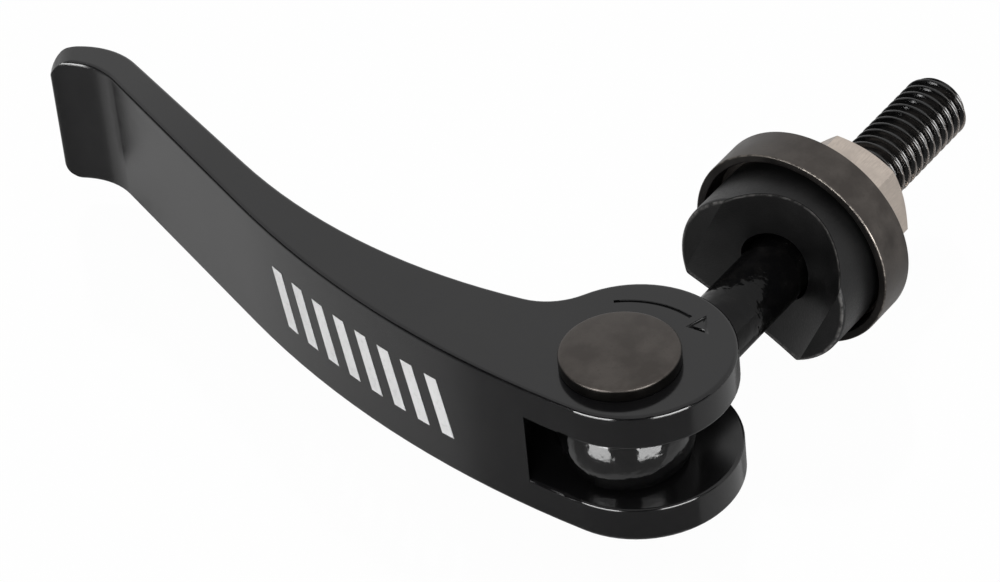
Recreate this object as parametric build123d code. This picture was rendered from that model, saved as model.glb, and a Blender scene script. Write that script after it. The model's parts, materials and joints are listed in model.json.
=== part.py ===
from build123d import *
import math
import os

# A quick-release cam lever: a forked hand lever that turns on a riveted pin in the eye of a
# threaded stud, with a saddle washer, a cup washer and a hex nut on the stud.
# Millimetres. The pivot pin stands along Z, the stud runs along +X and the arm points to +Y.
# Everything is built round the pivot's centre, then moved so that the origin lies on the stud's
# axis where the free thread begins, at the nut's outer face.

# --- stud: eye, shank and thread --------------------------------------------------------------
eye_diameter = 11.5            # ball eye, before its two flats
eye_width = 5.9                # across the flats
eye_edge = 0.5                 # round on the flats' rims
shank_diameter = 5.8
neck_radius = 1.6              # blend from the ball into the shank
thread_diameter = 6.0          # M6
thread_pitch = 1.0
stud_end = 48.8                # from the pivot's centre to the stud's tip
stud_chamfer = 0.7

# --- lever ------------------------------------------------------------------------------------
lever_width = 13.0             # along the pin, across both ears
slot_width = 6.4               # between the ears
slot_radius = 8.4              # of the slot's round end, about the pin
cam_radius = 8.5               # of the ears' rim, which presses on the saddle
cam_offset = 1.75              # from the pin's axis to the cam's centre
back_radius = 101.0            # the arm's outer side: a long bow ...
back_sweep = 23.0
back_straight_length = 22.35   # ... then straight ...
back_curl_radius = 6.1         # ... then curled away at the thumb end
back_curl_sweep = 64.0
nose_radius = 2.42             # the round end, which starts at a corner ...
nose_heading = 56.0            # ... in this direction, in degrees off +Y
belly_curl_radius = 6.9        # the arm's inner side, from the thumb end back to the cam
belly_curl_sweep = 51.4
belly_straight_length = 18.35
belly_radius = 59.0
belly_sweep = 40.0             # carried on into the cam
arm_taper = 1.6                # degrees between the two straight stretches
nose_corner = 0.45             # round on that corner
throat_radius = 5.5            # where the cam's rim runs into the arm
tip_round = 2.2                # on the thumb end's upper and lower edges
edge_round = 0.35              # on the outline's edges, both faces
slot_edge = 0.25               # on the ears' rims, along the slot

# --- pivot pin --------------------------------------------------------------------------------
pin_diameter = 5.5
head_diameter = 10.0
head_height = 1.5
head_round = 0.35
head_crown = 0.3               # rise of its top from rim to middle
rivet_diameter = 8.4           # the head formed at the far end
rivet_height = 1.3

# --- saddle washer ----------------------------------------------------------------------------
saddle_diameter = 16.1
saddle_front = 20.2            # from the pivot's centre to the saddle's horns
groove_depth = 2.6
saddle_turn = 26.2             # degrees that the groove stands off the pin's direction
saddle_lift = 0.35             # it hangs on the shank by its bore, off the stud's axis
saddle_edge = 0.4

# --- cup washer -------------------------------------------------------------------------------
cup_diameter = 18.7
cup_front = 24.7
cup_length = 3.7
cup_floor = 1.3
cup_edge = 0.25
cup_lift = 0.6                 # it hangs on the shank by its bore, off the stud's axis

# --- nut --------------------------------------------------------------------------------------
nut_flats = 10.0
nut_thickness = 5.1
nut_gap = 1.4                  # between the cup and the nut
nut_turn = 18.4                # degrees that a corner stands off +Y
nut_face_diameter = 9.6        # of the round faces that the bevels leave
nut_bevel_angle = 30.0

# --- clearances -------------------------------------------------------------------------------
pivot_clearance = 0.05         # eye on the pin, on the radius
ear_clearance = 0.02           # pin in the ears, on the radius
groove_clearance = 0.1         # cam in the saddle's groove, on the radius
saddle_bore_clearance = 0.4    # saddle on the shank, on the radius
cup_bore_clearance = 0.7       # cup on the shank, on the radius
cup_wall_clearance = 0.55      # saddle in the cup, on the radius
seat_clearance = 0.05          # saddle on the cup's floor
nut_clearance = 0.05           # nut on the stud, on the radius and at the thread's ends

# --- worked out -------------------------------------------------------------------------------
half_width = lever_width / 2
half_slot = slot_width / 2
thread_radius = thread_diameter / 2
flank_radius = thread_radius - 0.325 * thread_pitch
cup_back = cup_front + cup_length
saddle_back = cup_back - cup_floor - seat_clearance
nut_front = cup_back + nut_gap
nut_back = nut_front + nut_thickness
nut_bore_radius = flank_radius + nut_clearance
free_thread_start = nut_back + nut_clearance
stud_origin = Pos(-free_thread_start, 0, 0)


def along_x(start, length, radius):
    """A round bar on the stud's axis, from start on."""
    return Pos(start, 0, 0) * Rot(0, 90, 0) * Cylinder(
        radius, length, align=(Align.CENTER, Align.CENTER, Align.MIN)
    )


def circles_of(shape, radius):
    """The round edges of one radius, from the lowest up."""
    circles = shape.edges().filter_by(GeomType.CIRCLE).sort_by(Axis.Z)
    return [edge for edge in circles if abs(edge.radius - radius) < 0.01]


def on_cam(point):
    """True for a point on the cam's rim, seen along the pin."""
    return abs(math.hypot(point.X - cam_offset, point.Y) - cam_radius) < 0.001


def make_lever():
    """One casting: the arm, the two ears with their cam rims, and the slot between them."""
    # outer side, from the cam's rim to the thumb end
    back_bow = JernArc((cam_offset - cam_radius, 0), (0, 1), back_radius, -back_sweep)
    back_straight = PolarLine(back_bow @ 1, back_straight_length, direction=back_bow % 1)
    back_curl = JernArc(back_straight @ 1, back_straight % 1, back_curl_radius, back_curl_sweep)

    # thumb end, and the inner side back to the cam, which turns with the outer side
    nose_start = Vector(0, 1).rotate(Axis.Z, -nose_heading)
    nose_sweep = 180 + back_sweep - arm_taper - belly_curl_sweep - nose_heading
    nose = JernArc(back_curl @ 1, nose_start, nose_radius, -nose_sweep)
    belly_curl = JernArc(nose @ 1, nose % 1, belly_curl_radius, -belly_curl_sweep)
    belly_straight = PolarLine(belly_curl @ 1, belly_straight_length, direction=belly_curl % 1)
    belly_bow = JernArc(belly_straight @ 1, belly_straight % 1, belly_radius, belly_sweep)
    root = Line(belly_bow @ 1, back_bow @ 0)
    back_side = [back_bow, back_straight, back_curl]
    belly_side = [belly_curl, belly_straight, belly_bow]
    arm = make_face(Curve() + back_side + [nose] + belly_side + [root])

    outline = arm + Pos(cam_offset, 0) * Circle(cam_radius)
    # the throat is where the inner bow comes out of the cam, on the arm's side
    crossings = [corner for corner in outline.vertices() if on_cam(corner) and corner.X > 0]
    outline = fillet(crossings, throat_radius)
    corner = outline.vertices().sort_by_distance(back_curl @ 1)[0]
    outline = fillet(corner, nose_corner)

    solid = extrude(outline, half_width, both=True)
    rims = [
        edge
        for edge in solid.edges()
        if abs(abs(edge.center().Z) - half_width) < 0.01 and edge.length > 0.1
    ]
    solid = fillet(rims, edge_round)

    # the thumb end's upper and lower edges, rounded square to the nose's start
    outward = nose_start.rotate(Axis.Z, 90)
    end_plane = Plane(origin=back_curl @ 1, x_dir=outward, z_dir=nose_start)
    reach = solid.bounding_box().size.Y
    side = Rectangle(2 * reach, lever_width, align=(Align.MAX, Align.CENTER))
    side = fillet(side.vertices(), tip_round)
    solid &= extrude(end_plane * side, reach, both=True)

    # the slot: round behind the eye, open towards the stud and below the pin
    open_side = Rectangle(3 * cam_radius, 3 * cam_radius, align=(Align.MIN, Align.MAX))
    below = Rectangle(4 * cam_radius, 2 * cam_radius, align=(Align.CENTER, Align.MAX))
    slot = Circle(slot_radius) + Pos(0, slot_radius) * open_side + below
    solid -= extrude(slot, half_slot, both=True)
    slot_rims = [edge for edge in circles_of(solid, cam_radius) if abs(edge.center().Z) < half_slot + 0.01]
    solid = fillet(slot_rims, slot_edge)
    solid -= Cylinder(pin_diameter / 2 + ear_clearance, 2 * lever_width)
    return solid


def make_pin():
    """The pivot pin: a low round head on top, a formed rivet head below."""
    shank = Cylinder(pin_diameter / 2, lever_width)
    low = (Align.CENTER, Align.CENTER, Align.MIN)
    high = (Align.CENTER, Align.CENTER, Align.MAX)
    head = Pos(0, 0, half_width) * Cylinder(head_diameter / 2, head_height, align=low)
    crown_radius = (head_diameter**2 / 4 + head_crown**2) / (2 * head_crown)
    head &= Pos(0, 0, half_width + head_height - crown_radius) * Sphere(crown_radius)
    head = fillet(circles_of(head, head_diameter / 2)[-1:], head_round)
    rivet = Pos(0, 0, -half_width) * Cylinder(rivet_diameter / 2, rivet_height, align=high)
    rivet = fillet(rivet.edges().group_by(Axis.Z)[0], rivet_height * 0.7)
    return shank + head + rivet


def make_stud():
    """The eye bolt: a ball eye with two flats, a blended neck, the shank and the thread."""
    ball_radius = eye_diameter / 2
    flat_z = eye_width / 2
    flat_radius = math.sqrt(ball_radius**2 - flat_z**2)
    ball = make_face(
        Curve()
        + [
            Line((0, -flat_z), (flat_radius, -flat_z)),
            RadiusArc((flat_radius, -flat_z), (flat_radius, flat_z), -ball_radius),
            Line((flat_radius, flat_z), (0, flat_z)),
            Line((0, flat_z), (0, -flat_z)),
        ]
    )
    ball = fillet(ball.vertices().group_by(Axis.X)[-1], eye_edge)
    eye = revolve(Plane.XZ * ball, Axis.Z)

    # the neck's arc touches both the ball and the shank
    shank_radius = shank_diameter / 2
    neck_end = math.sqrt((ball_radius + neck_radius) ** 2 - (shank_radius + neck_radius) ** 2)
    touch = ball_radius / (ball_radius + neck_radius)
    ball_end = (neck_end * touch, (shank_radius + neck_radius) * touch)
    neck = make_face(
        Curve()
        + [
            Line((0, 0), ball_end),
            RadiusArc(ball_end, (neck_end, shank_radius), neck_radius),
            Line((neck_end, shank_radius), (neck_end, 0)),
            Line((neck_end, 0), (0, 0)),
        ]
    )
    neck = revolve(neck, Axis.X) & Box(2 * eye_diameter, 2 * eye_diameter, eye_width)

    shank = along_x(neck_end, nut_front - nut_clearance - neck_end, shank_radius)
    # under the nut the stud is drawn at the flanks, where the two threads bear
    flank = along_x(nut_front - nut_clearance, nut_thickness + 2 * nut_clearance, flank_radius)
    thread = along_x(free_thread_start, stud_end - free_thread_start, thread_radius)
    thread = chamfer(thread.edges().group_by(Axis.X)[-1], stud_chamfer)
    pivot_bore = Cylinder(pin_diameter / 2 + pivot_clearance, lever_width)
    return eye + neck + shank + flank + thread - pivot_bore


def make_saddle():
    """The saddle washer: a round pad with a groove across its face for the cam's rim."""
    length = saddle_back - saddle_front
    groove_radius = cam_radius + groove_clearance
    pad = along_x(saddle_front, length, saddle_diameter / 2)
    pad = fillet(pad.edges().filter_by(GeomType.CIRCLE), saddle_edge)
    bottom = saddle_front + groove_depth
    groove = Pos(bottom - groove_radius, 0, 0) * Cylinder(groove_radius, 2 * saddle_diameter)
    pad -= groove
    pad -= along_x(saddle_front, length, shank_diameter / 2 + saddle_bore_clearance)
    return Pos(0, 0, saddle_lift) * Rot(saddle_turn, 0, 0) * pad


def make_cup():
    """The cup washer that holds the saddle."""
    wall_radius = saddle_diameter / 2 + cup_wall_clearance
    cup = along_x(cup_front, cup_length, cup_diameter / 2)
    cup -= along_x(cup_front, cup_length - cup_floor, wall_radius)
    cup = fillet(circles_of(cup, cup_diameter / 2) + circles_of(cup, wall_radius), cup_edge)
    cup -= along_x(cup_front, cup_length, shank_diameter / 2 + cup_bore_clearance)
    return Pos(0, 0, cup_lift) * cup


def make_nut():
    """A hex nut, bevelled on its corners at both faces."""
    hexagon = Rot(0, 0, nut_turn) * RegularPolygon(nut_flats / 2, 6, major_radius=False)
    nut = extrude(Plane.YZ.offset(nut_front) * hexagon, nut_thickness)
    # a barrel with bevelled ends trims the corners down to the round bearing faces
    corner_radius = nut_flats / math.sqrt(3)
    bevel = corner_radius - nut_face_diameter / 2
    drop = bevel * math.tan(math.radians(nut_bevel_angle))
    barrel = along_x(nut_front, nut_thickness, corner_radius)
    near = barrel.faces().sort_by(Axis.X)[0]
    barrel = chamfer(near.edges(), bevel, drop, reference=near)
    far = barrel.faces().sort_by(Axis.X)[-1]
    barrel = chamfer(far.edges(), bevel, drop, reference=far)
    return (nut & barrel) - along_x(nut_front, nut_thickness, nut_bore_radius)


nodes = {
    "lever": make_lever(),
    "pivot_pin": make_pin(),
    "eye_bolt": make_stud(),
    "saddle_washer": make_saddle(),
    "cup_washer": make_cup(),
    "nut": make_nut(),
}

os.makedirs("parts", exist_ok=True)
for name, solid in nodes.items():
    export_step(stud_origin * solid, f"parts/{name}.step")
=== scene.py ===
"""Looks of a quick-release cam lever.

The painted hand lever with its sunk arrow and printed bars, the riveted pivot pin, the forged eye
bolt with its cut thread, the moulded saddle, the cup washer and the hexagon nut, each in its place
in the frame and riding on its body, with a plain studio around them.
"""

import json
import logging
import math
from collections.abc import Iterator
from contextlib import contextmanager
from dataclasses import dataclass, field
from enum import Enum

import bmesh
import bpy
from mathutils import Matrix, Vector
from mathutils.bvhtree import BVHTree
from mathutils.interpolate import poly_3d_calc


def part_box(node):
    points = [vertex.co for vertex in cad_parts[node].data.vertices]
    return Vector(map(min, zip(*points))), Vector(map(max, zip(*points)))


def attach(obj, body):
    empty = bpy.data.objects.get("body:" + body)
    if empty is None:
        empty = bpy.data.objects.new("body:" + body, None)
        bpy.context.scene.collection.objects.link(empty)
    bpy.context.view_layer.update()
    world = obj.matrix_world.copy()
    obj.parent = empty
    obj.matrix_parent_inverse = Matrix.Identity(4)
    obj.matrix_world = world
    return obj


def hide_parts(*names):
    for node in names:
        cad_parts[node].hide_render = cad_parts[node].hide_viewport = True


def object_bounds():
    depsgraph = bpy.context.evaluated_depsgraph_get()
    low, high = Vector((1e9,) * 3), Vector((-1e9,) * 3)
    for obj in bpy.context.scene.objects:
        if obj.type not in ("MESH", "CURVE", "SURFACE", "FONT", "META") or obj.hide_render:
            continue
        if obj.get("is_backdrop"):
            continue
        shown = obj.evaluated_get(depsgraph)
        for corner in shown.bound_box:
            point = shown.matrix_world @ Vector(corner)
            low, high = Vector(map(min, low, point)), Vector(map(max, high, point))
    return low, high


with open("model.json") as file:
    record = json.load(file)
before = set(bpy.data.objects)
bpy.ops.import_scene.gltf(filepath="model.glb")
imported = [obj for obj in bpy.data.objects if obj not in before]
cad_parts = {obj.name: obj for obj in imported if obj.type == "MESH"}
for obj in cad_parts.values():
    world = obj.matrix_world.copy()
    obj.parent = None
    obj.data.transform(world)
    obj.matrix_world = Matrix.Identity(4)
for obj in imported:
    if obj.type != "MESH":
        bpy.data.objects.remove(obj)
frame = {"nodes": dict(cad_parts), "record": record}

LOG = logging.getLogger("cam_lever")
MM = 0.001
WELD = 0.002 * MM

Colour = tuple[float, float, float]
Span = tuple[float, float]
Socket = bpy.types.NodeSocket


class Axis(Enum):
    """Direction of a turned piece's own axis."""

    STUD = "X"
    PIN = "Z"


class Body(Enum):
    """The moving parts of the lever, by the names that the frame gives them."""

    STUD = "stud_body"
    LEVER = "lever_body"
    CUP = "cup_body"
    SADDLE = "saddle_body"
    NUT = "nut_body"


class Reach(Enum):
    """What a lamp lights: what the gloss mirrors, or matt surfaces."""

    MIRRORED = "mirrored"
    MATT = "matt"


def lowest(node: str) -> Vector:
    """The lowest corner of a frame node, in millimetres."""
    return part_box(node)[0] / MM


def highest(node: str) -> Vector:
    """The highest corner of a frame node, in millimetres."""
    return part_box(node)[1] / MM


def joint_place(name: str) -> Vector:
    """A point on the axis of one of the frame's joints.

    Args:
        name: name of the joint.

    Returns:
        The point, in millimetres.
    """
    joints = frame["record"]["behaviour"]["joints"]
    return Vector(next(joint["pos_m"] for joint in joints if joint["name"] == name)) / MM


# ---------------------------------------------------------------------------------------------
# node trees
# ---------------------------------------------------------------------------------------------


class NodeSheet:
    """A node tree, with short ways to add and join its nodes."""

    def __init__(self, tree: bpy.types.NodeTree) -> None:
        """Takes the tree to write in."""
        self.tree = tree

    def give(self, target: Socket, value: object) -> None:
        """Gives an input its value.

        Args:
            target: the input.
            value: a socket to link, or a constant.
        """
        if isinstance(value, Socket):
            self.tree.links.new(value, target)
        else:
            target.default_value = value

    def fill(self, node: bpy.types.Node, **inputs: object) -> None:
        """Gives a node's inputs their values.

        Args:
            node: the node.
            inputs: a socket or a constant for each input, by name with _ for a space.
        """
        for name, value in inputs.items():
            self.give(node.inputs[name.replace("_", " ")], value)

    def add(self, kind: str, **inputs: object) -> bpy.types.Node:
        """Adds a node.

        Args:
            kind: Blender's name of the node.
            inputs: a socket or a constant for each input, by name with _ for a space.

        Returns:
            The node.
        """
        node = self.tree.nodes.new(kind)
        self.fill(node, **inputs)
        return node

    def math(self, kind: str, *values: Socket | float) -> Socket:
        """One operation on numbers or sockets.

        Args:
            kind: Blender's name of the operation.
            values: its operands.

        Returns:
            The result.
        """
        node = self.add("ShaderNodeMath")
        node.operation = kind
        for target, value in zip(node.inputs, values):
            self.give(target, value)
        return node.outputs[0]

    def mixed(self, share: Socket | float, first: bpy.types.Node, second: bpy.types.Node) -> bpy.types.Node:
        """Mixes two shaders.

        Args:
            share: 0 gives the first, 1 the second.
            first: a shader node.
            second: a shader node.

        Returns:
            The node that mixes them.
        """
        node = self.add("ShaderNodeMixShader")
        for target, value in zip(node.inputs, (share, first.outputs[0], second.outputs[0])):
            self.give(target, value)
        return node


class ShaderSheet(NodeSheet):
    """A material's node tree: patterns on the object's coordinates that end in one surface shader."""

    def __init__(self, name: str) -> None:
        """Starts a material with only its surface shader and output.

        Args:
            name: name of the material.
        """
        self.material = bpy.data.materials.new(name)
        self.material.use_nodes = True
        super().__init__(self.material.node_tree)
        self.surface = self.tree.nodes["Principled BSDF"]
        self.place = self.add("ShaderNodeTexCoord").outputs["Object"]

    def set(self, **values: object) -> None:
        """Sets the surface shader's inputs to constants or patterns, by name with _ for a space."""
        self.fill(self.surface, **values)

    def stretched(self, scale: Colour) -> Socket:
        """The object's coordinates, scaled by a factor along each axis."""
        return self.add("ShaderNodeMapping", Vector=self.place, Scale=scale).outputs["Vector"]

    def noise(self, size: float, detail: float = 3.0, place: Socket | None = None) -> Socket:
        """A cloudy pattern.

        Args:
            size: distance between its blotches, in millimetres.
            detail: octaves of finer pattern.
            place: coordinates to use in place of the object's own.

        Returns:
            The pattern, between 0 and 1.
        """
        scale = 1 / (size * MM)
        node = self.add("ShaderNodeTexNoise", Vector=place or self.place, Scale=scale, Detail=detail)
        return node.outputs["Fac"]

    def attribute(self, name: str) -> Socket:
        """A number that the mesh carries at its points.

        Args:
            name: name of the attribute.

        Returns:
            The number.
        """
        node = self.add("ShaderNodeAttribute")
        node.attribute_name = name
        return node.outputs["Fac"]

    def coordinate(self, axis: Axis | str) -> Socket:
        """One of the object's coordinates.

        Args:
            axis: X, Y, Z or a piece's own axis.

        Returns:
            The coordinate, in millimetres.
        """
        name = axis.value if isinstance(axis, Axis) else axis
        return self.math("DIVIDE", self.add("ShaderNodeSeparateXYZ", Vector=self.place).outputs[name], MM)

    def distance(self, **centre: float) -> Socket:
        """How far the surface is from a line along one of the axes.

        Args:
            centre: where the line crosses the two other axes, in millimetres, by their names.

        Returns:
            The distance, in millimetres.
        """
        gaps = [self.math("SUBTRACT", self.coordinate(axis), place) for axis, place in centre.items()]
        squares = [self.math("MULTIPLY", gap, gap) for gap in gaps]
        return self.math("SQRT", self.math("ADD", *squares))

    def spread(self, source: Socket, span: Span, result: Span = (0.0, 1.0)) -> Socket:
        """Maps a part of a pattern's range to another range, held at its ends.

        Args:
            source: pattern.
            span: the pattern's values that give the ends of the result.
            result: first and last value of the result.

        Returns:
            The mapped pattern.
        """
        node = self.add("ShaderNodeMapRange", Value=source)
        self.fill(node, From_Min=span[0], From_Max=span[1], To_Min=result[0], To_Max=result[1])
        return node.outputs["Result"]

    def blend(self, amount: Socket, first: Colour | Socket, second: Colour | Socket) -> Socket:
        """Mixes two colours.

        Args:
            amount: 0 gives the first colour, 1 the second.
            first: a colour or the result of another blend.
            second: a colour or the result of another blend.

        Returns:
            The mixed colour.
        """
        node = self.add("ShaderNodeMix")
        node.data_type = "RGBA"
        self.fill(node, Factor=amount)
        for target, colour in zip(node.inputs[6:8], (first, second)):
            self.give(target, colour if isinstance(colour, Socket) else (*colour, 1.0))
        return node.outputs[2]

    def relief(self, height: Socket, depth: float, below: Socket | None = None) -> Socket:
        """A bump of a given depth, on top of an earlier one.

        Args:
            height: pattern between 0 and 1.
            depth: its depth in millimetres.
            below: normal from an earlier relief.

        Returns:
            The bumped normal.
        """
        node = self.add("ShaderNodeBump", Strength=1.0, Distance=depth * MM, Height=height)
        if below is not None:
            self.fill(node, Normal=below)
        return node.outputs["Normal"]


class GeometryRecipe(NodeSheet):
    """A geometry node tree with named inputs for its sizes, run once to give a plain mesh."""

    def __init__(self, name: str, sizes: dict[str, float]) -> None:
        """Starts the tree and its inputs.

        Args:
            name: name of the tree.
            sizes: name and value of each input, in metres, as a share or as a count.
        """
        super().__init__(bpy.data.node_groups.new(name, "GeometryNodeTree"))
        self.name = name
        self.sizes = sizes
        self.tree.interface.new_socket("Geometry", in_out="OUTPUT", socket_type="NodeSocketGeometry")
        self.identifiers = {}
        for size, value in sizes.items():
            kind = "NodeSocketInt" if isinstance(value, int) else "NodeSocketFloat"
            socket = self.tree.interface.new_socket(size, in_out="INPUT", socket_type=kind)
            self.identifiers[size] = socket.identifier
        self.given = self.add("NodeGroupInput")
        self.result = self.add("NodeGroupOutput")

    def size(self, name: str) -> Socket:
        """The socket of one named size."""
        return self.given.outputs[name]

    def position(self) -> bpy.types.Node:
        """A node that splits each point's position into X, Y and Z."""
        return self.add("ShaderNodeSeparateXYZ", Vector=self.add("GeometryNodeInputPosition").outputs[0])

    def held(self, value: Socket, low: Socket | float, high: Socket | float) -> Socket:
        """A number held between two limits."""
        return self.math("MINIMUM", self.math("MAXIMUM", value, low), high)

    def close(self, geometry: Socket, material: bpy.types.Material) -> None:
        """Ends the tree: real geometry, in one material.

        Args:
            geometry: what the tree made.
            material: its material.
        """
        real = self.add("GeometryNodeRealizeInstances", Geometry=geometry)
        dressed = self.add("GeometryNodeSetMaterial", Geometry=real.outputs[0], Material=material)
        self.give(self.result.inputs[0], dressed.outputs[0])

    def mesh(self) -> bpy.types.Mesh:
        """Runs the tree on an empty mesh.

        Returns:
            The result as a plain mesh.
        """
        holder = new_piece(self.name, bpy.data.meshes.new(self.name))
        modifier = holder.modifiers.new("recipe", "NODES")
        modifier.node_group = self.tree
        for size, value in self.sizes.items():
            modifier[self.identifiers[size]] = value
        made = plain_mesh(holder)
        holder.modifiers.remove(modifier)
        bpy.data.objects.remove(holder)
        return made


# ---------------------------------------------------------------------------------------------
# meshes
# ---------------------------------------------------------------------------------------------


def plain_mesh(piece: bpy.types.Object) -> bpy.types.Mesh:
    """The evaluated mesh of an object, modifiers included.

    Args:
        piece: object with its modifiers.

    Returns:
        A new mesh with nothing live on it.
    """
    bpy.context.view_layer.update()
    graph = bpy.context.evaluated_depsgraph_get()
    evaluated = piece.evaluated_get(graph)
    return bpy.data.meshes.new_from_object(evaluated, preserve_all_data_layers=True, depsgraph=graph)


def new_piece(name: str, mesh: bpy.types.Mesh) -> bpy.types.Object:
    """Puts a mesh into the scene as an object at the origin.

    Args:
        name: name of the piece.
        mesh: its mesh, in its place.

    Returns:
        The object.
    """
    piece = bpy.data.objects.new(name, mesh)
    bpy.context.scene.collection.objects.link(piece)
    return piece


@contextmanager
def worked(mesh: bpy.types.Mesh, source: bpy.types.Mesh | None = None) -> Iterator[bmesh.types.BMesh]:
    """Opens a mesh for editing and writes the result back to it.

    Args:
        mesh: mesh that takes the result.
        source: mesh to start from, if that is another one.

    Yields:
        The editable mesh.
    """
    sheet = bmesh.new()
    sheet.from_mesh(source or mesh)
    yield sheet
    sheet.to_mesh(mesh)
    sheet.free()


def merged_copy(node: str) -> bpy.types.Mesh:
    """A welded copy of a frame node's mesh.

    Args:
        node: name of the node.

    Returns:
        The new mesh.
    """
    mesh = bpy.data.meshes.new(node)
    with worked(mesh, frame["nodes"][node].data) as sheet:
        bmesh.ops.remove_doubles(sheet, verts=sheet.verts, dist=WELD)
    mesh.materials.clear()
    return mesh


def closed(mesh: bpy.types.Mesh) -> bpy.types.Mesh:
    """Welds a mesh, fills its open ends and turns its faces outwards.

    Args:
        mesh: mesh to change.

    Returns:
        The same mesh.
    """
    with worked(mesh) as sheet:
        bmesh.ops.remove_doubles(sheet, verts=sheet.verts, dist=WELD)
        bmesh.ops.dissolve_degenerate(sheet, edges=sheet.edges, dist=WELD / 2)
        open_edges = [edge for edge in sheet.edges if edge.is_boundary]
        bmesh.ops.holes_fill(sheet, edges=open_edges, sides=0)
        bmesh.ops.recalc_face_normals(sheet, faces=sheet.faces)
    return mesh


def soften(piece: bpy.types.Object, width: float, sharp: float, steps: int = 3) -> None:
    """Rounds a piece's creases.

    Args:
        piece: object whose mesh is replaced by the rounded one.
        width: how far the rounding reaches from a crease, in millimetres.
        sharp: angle in degrees past which an edge is a crease.
        steps: facets across each rounding.
    """
    rounding = piece.modifiers.new("rounding", "BEVEL")
    rounding.width = width * MM
    rounding.segments = steps
    rounding.limit_method = "ANGLE"
    rounding.angle_limit = math.radians(sharp)
    mesh = plain_mesh(piece)
    piece.modifiers.remove(rounding)
    piece.data = mesh


def evened(piece: bpy.types.Object, sharp: float, weight: int = 80) -> None:
    """Smooth shading in which the broad faces stay flat and corners over an angle stay sharp.

    Args:
        piece: object whose mesh is shaded; its mesh is replaced by a plain one.
        sharp: angle in degrees past which an edge is a crease.
        weight: how far broad faces outweigh narrow ones, from 50, alike, to 100.
    """
    piece.data.shade_smooth()
    piece.data.set_sharp_from_angle(angle=math.radians(sharp))
    weights = piece.modifiers.new("weights", "WEIGHTED_NORMAL")
    weights.keep_sharp = True
    weights.weight = weight
    mesh = plain_mesh(piece)
    piece.modifiers.remove(weights)
    piece.data = mesh


def shaded_as(piece: bpy.types.Object, node: str, reach: float = 0.004, bend: float = 25.0) -> None:
    """Gives a piece the exact surface normals of a frame node, wherever the two still coincide.

    Args:
        piece: object whose mesh came from the node's and has been evened.
        node: name of the node.
        reach: distance in millimetres past which the two no longer coincide.
        bend: angle in degrees between their faces past which they no longer coincide.
    """
    source = frame["nodes"][node].data
    source.calc_loop_triangles()
    exact = [Vector(corner.vector) for corner in source.corner_normals]
    spots = [vertex.co.copy() for vertex in source.vertices]
    triangles = source.loop_triangles
    tree = BVHTree.FromPolygons(spots, [tuple(triangle.vertices) for triangle in triangles])
    mesh = piece.data
    normals = [Vector(corner.vector) for corner in mesh.corner_normals]
    # each corner is moved this share of the way to its face's middle, so that it finds its own face
    inwards = 0.02
    for face in mesh.polygons:
        for corner in face.loop_indices:
            point = mesh.vertices[mesh.loops[corner].vertex_index].co
            _, _, index, distance = tree.find_nearest(point.lerp(face.center, inwards))
            triangle = triangles[index]
            if distance > reach * MM or triangle.normal.angle(face.normal, math.pi) > math.radians(bend):
                continue
            shares = poly_3d_calc([spots[vertex] for vertex in triangle.vertices], point)
            weighted = (exact[loop] * share for loop, share in zip(triangle.loops, shares))
            normals[corner] = sum(weighted, Vector())
    mesh.normals_split_custom_set([normal.normalized() for normal in normals])


@dataclass(frozen=True)
class Corner:
    """A corner of a turned piece's outline.

    Its place along the axis, its radius and its rounding are in millimetres; its wear is 0 to 1.
    """

    along: float
    radius: float
    rounding: float = 0.0
    wear: float = 0.0


@dataclass(frozen=True)
class Turning:
    """A piece turned about an axis from a closed outline, its corners rounded."""

    name: str
    axis: Axis
    centre: Vector
    corners: tuple[Corner, ...]
    steps: int = 128
    arc_steps: int = 6

    def arc(self, before: Corner, corner: Corner, after: Corner) -> list[tuple[float, float, float]]:
        """The rounding of one corner.

        Args:
            before: the corner before it.
            corner: the corner.
            after: the corner after it.

        Returns:
            Points as place along the axis and radius in mm, and their wear.
        """
        here = Vector((corner.along, corner.radius))
        if corner.rounding == 0:
            return [(here.x, here.y, 0.0)]
        back = (Vector((before.along, before.radius)) - here).normalized()
        ahead = (Vector((after.along, after.radius)) - here).normalized()
        half = back.angle(ahead) / 2
        reach = corner.rounding / math.tan(half)
        middle = here + (back + ahead).normalized() * corner.rounding / math.sin(half)
        start = here + back * reach - middle
        stop = here + ahead * reach - middle
        points = []
        for step in range(self.arc_steps + 1):
            share = step / self.arc_steps
            place = middle + start.lerp(stop, share).normalized() * corner.rounding
            points.append((place.x, place.y, corner.wear * math.sin(math.pi * share) ** 2))
        return points

    def placed(self, along: float, radius: float, angle: float) -> Vector:
        """A point of the turned surface.

        Args:
            along: place along the axis, in mm.
            radius: distance from the axis, in mm.
            angle: turn about the axis, in radians.

        Returns:
            The point, in metres.
        """
        across, up = radius * math.cos(angle), radius * math.sin(angle)
        if self.axis is Axis.STUD:
            return self.centre + Vector((along, across, up)) * MM
        return self.centre + Vector((across, up, along)) * MM

    def mesh(self) -> bpy.types.Mesh:
        """Builds the closed surface.

        Returns:
            A mesh with the wear attribute set on its rounded corners.
        """
        count = len(self.corners)
        outline = []
        for index, corner in enumerate(self.corners):
            outline += self.arc(self.corners[index - 1], corner, self.corners[(index + 1) % count])
        mesh = bpy.data.meshes.new(self.name)
        with worked(mesh) as sheet:
            layer = sheet.verts.layers.float.new("wear")
            rings = []
            for step in range(self.steps):
                angle = 2 * math.pi * step / self.steps
                ring = []
                for along, radius, wear in outline:
                    point = sheet.verts.new(self.placed(along, radius, angle))
                    point[layer] = wear
                    ring.append(point)
                rings.append(ring)
            for ring, following in zip(rings, rings[1:] + rings[:1]):
                for index, spot in enumerate(outline):
                    onward = (index + 1) % len(outline)
                    if spot[1] == 0 and outline[onward][1] == 0:
                        continue
                    sheet.faces.new((ring[index], ring[onward], following[onward], following[index]))
        return closed(mesh)


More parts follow.
